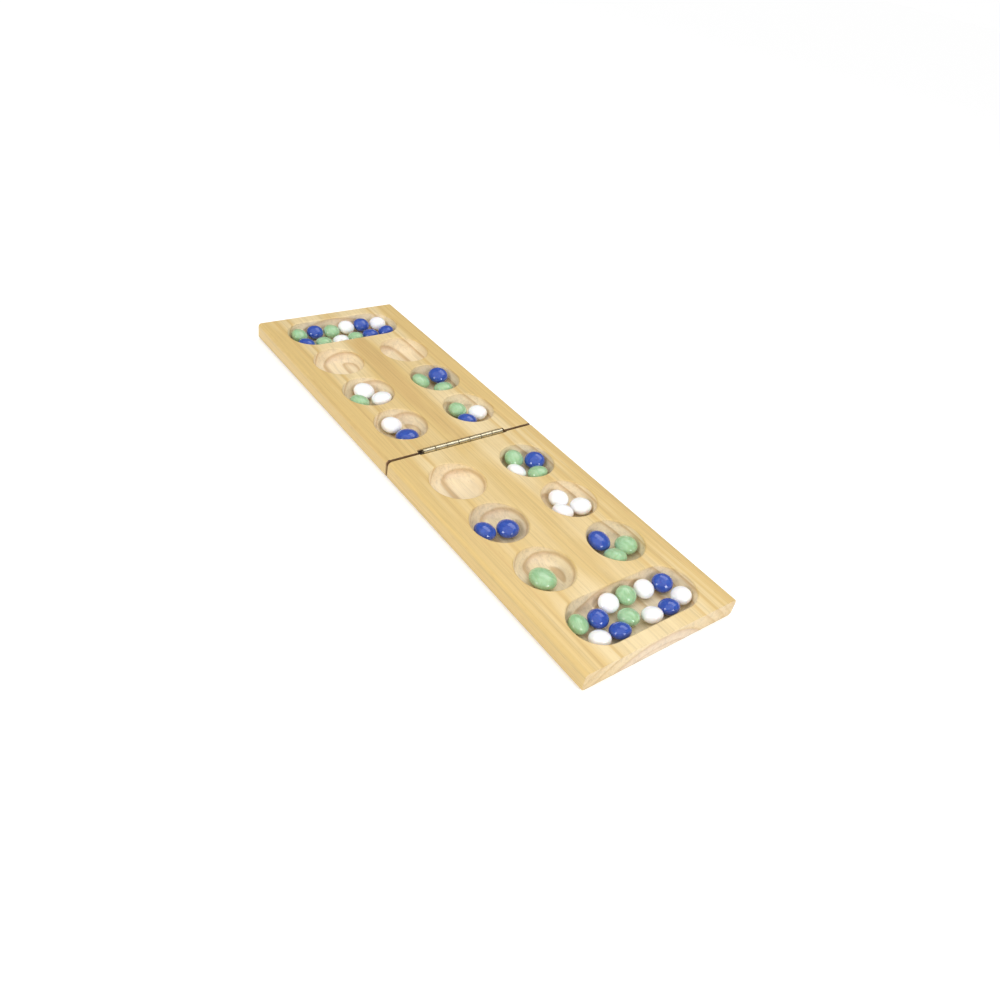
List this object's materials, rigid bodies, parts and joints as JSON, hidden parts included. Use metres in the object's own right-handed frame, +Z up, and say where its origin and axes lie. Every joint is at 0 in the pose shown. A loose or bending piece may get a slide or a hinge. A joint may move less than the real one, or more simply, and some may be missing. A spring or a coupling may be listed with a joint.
{
  "type": "folding mancala board",
  "caption": "Folding wooden mancala board: hinged halves with round pits and a long store at each end, holding loose glass pebbles.",
  "frame": {"origin": "centre of the underside of the opened board, below the middle of the seam", "axes": "+X along the board towards the near store, +Y across it, +Z up out of the pits"},
  "size_m": [0.427, 0.129, 0.0161],
  "materials": {
    "varnished_pine": "satin varnished pale golden pine",
    "brass": "plain brass, lightly dulled",
    "blue_glass": "deep blue polished glass",
    "green_glass": "pale milky green polished glass",
    "white_glass": "opaque white polished glass"
  },
  "bodies": {
    "near_half": {"near_board_half": "varnished_pine", "near_hinge_leaf": "brass", "hinge_pin": "brass", "near_leaf_screw_1": "brass", "near_leaf_screw_2": "brass", "near_leaf_screw_3": "brass"},
    "far_half": {"far_board_half": "varnished_pine", "far_hinge_leaf": "brass", "far_leaf_screw_1": "brass", "far_leaf_screw_2": "brass", "far_leaf_screw_3": "brass"},
    "front_pit_2_handful": {"front_pit_2_pebble_1": "white_glass", "front_pit_2_pebble_2": "white_glass", "front_pit_2_pebble_3": "green_glass"},
    "front_pit_3_handful": {"front_pit_3_pebble_1": "white_glass", "front_pit_3_pebble_2": "blue_glass"},
    "front_pit_5_handful": {"front_pit_5_pebble_1": "blue_glass", "front_pit_5_pebble_2": "blue_glass"},
    "front_pit_6_handful": {"front_pit_6_pebble_1": "green_glass"},
    "back_pit_2_handful": {"back_pit_2_pebble_1": "green_glass", "back_pit_2_pebble_2": "green_glass", "back_pit_2_pebble_3": "blue_glass"},
    "back_pit_3_handful": {"back_pit_3_pebble_1": "green_glass", "back_pit_3_pebble_2": "blue_glass", "back_pit_3_pebble_3": "white_glass"},
    "back_pit_4_handful": {"back_pit_4_pebble_1": "white_glass", "back_pit_4_pebble_2": "green_glass", "back_pit_4_pebble_3": "blue_glass", "back_pit_4_pebble_4": "green_glass"},
    "back_pit_5_handful": {"back_pit_5_pebble_1": "white_glass", "back_pit_5_pebble_2": "white_glass", "back_pit_5_pebble_3": "white_glass"},
    "back_pit_6_handful": {"back_pit_6_pebble_1": "green_glass", "back_pit_6_pebble_2": "blue_glass", "back_pit_6_pebble_3": "green_glass"},
    "near_store_handful": {"near_store_pebble_1": "green_glass", "near_store_pebble_2": "blue_glass", "near_store_pebble_3": "white_glass", "near_store_pebble_4": "green_glass", "near_store_pebble_5": "blue_glass", "near_store_pebble_6": "white_glass", "near_store_pebble_7": "blue_glass", "near_store_pebble_8": "white_glass", "near_store_pebble_9": "green_glass", "near_store_pebble_10": "white_glass", "near_store_pebble_11": "blue_glass", "near_store_pebble_12": "white_glass"},
    "far_store_handful": {"far_store_pebble_1": "blue_glass", "far_store_pebble_2": "green_glass", "far_store_pebble_3": "blue_glass", "far_store_pebble_4": "white_glass", "far_store_pebble_5": "green_glass", "far_store_pebble_6": "green_glass", "far_store_pebble_7": "white_glass", "far_store_pebble_8": "green_glass", "far_store_pebble_9": "blue_glass", "far_store_pebble_10": "blue_glass", "far_store_pebble_11": "white_glass", "far_store_pebble_12": "blue_glass"}
  },
  "joints": [
    {"name": "board_fold", "type": "hinge", "parent": "near_half", "child": "far_half", "pos_m": [0, 0, 0.01435], "axis": [0, -1, 0], "range_deg": [-180, 0]},
    {"name": "front_pit_2_scoop", "type": "slide", "parent": "far_half", "child": "front_pit_2_handful", "axis": [0, 0, 1], "range_m": [0, 0.05]},
    {"name": "front_pit_3_scoop", "type": "slide", "parent": "far_half", "child": "front_pit_3_handful", "axis": [0, 0, 1], "range_m": [0, 0.05]},
    {"name": "front_pit_5_scoop", "type": "slide", "parent": "near_half", "child": "front_pit_5_handful", "axis": [0, 0, 1], "range_m": [0, 0.05]},
    {"name": "front_pit_6_scoop", "type": "slide", "parent": "near_half", "child": "front_pit_6_handful", "axis": [0, 0, 1], "range_m": [0, 0.05]},
    {"name": "back_pit_2_scoop", "type": "slide", "parent": "far_half", "child": "back_pit_2_handful", "axis": [0, 0, 1], "range_m": [0, 0.05]},
    {"name": "back_pit_3_scoop", "type": "slide", "parent": "far_half", "child": "back_pit_3_handful", "axis": [0, 0, 1], "range_m": [0, 0.05]},
    {"name": "back_pit_4_scoop", "type": "slide", "parent": "near_half", "child": "back_pit_4_handful", "axis": [0, 0, 1], "range_m": [0, 0.05]},
    {"name": "back_pit_5_scoop", "type": "slide", "parent": "near_half", "child": "back_pit_5_handful", "axis": [0, 0, 1], "range_m": [0, 0.05]},
    {"name": "back_pit_6_scoop", "type": "slide", "parent": "near_half", "child": "back_pit_6_handful", "axis": [0, 0, 1], "range_m": [0, 0.05]},
    {"name": "near_store_scoop", "type": "slide", "parent": "near_half", "child": "near_store_handful", "axis": [0, 0, 1], "range_m": [0, 0.05]},
    {"name": "far_store_scoop", "type": "slide", "parent": "far_half", "child": "far_store_handful", "axis": [0, 0, 1], "range_m": [0, 0.05]}
  ]
}
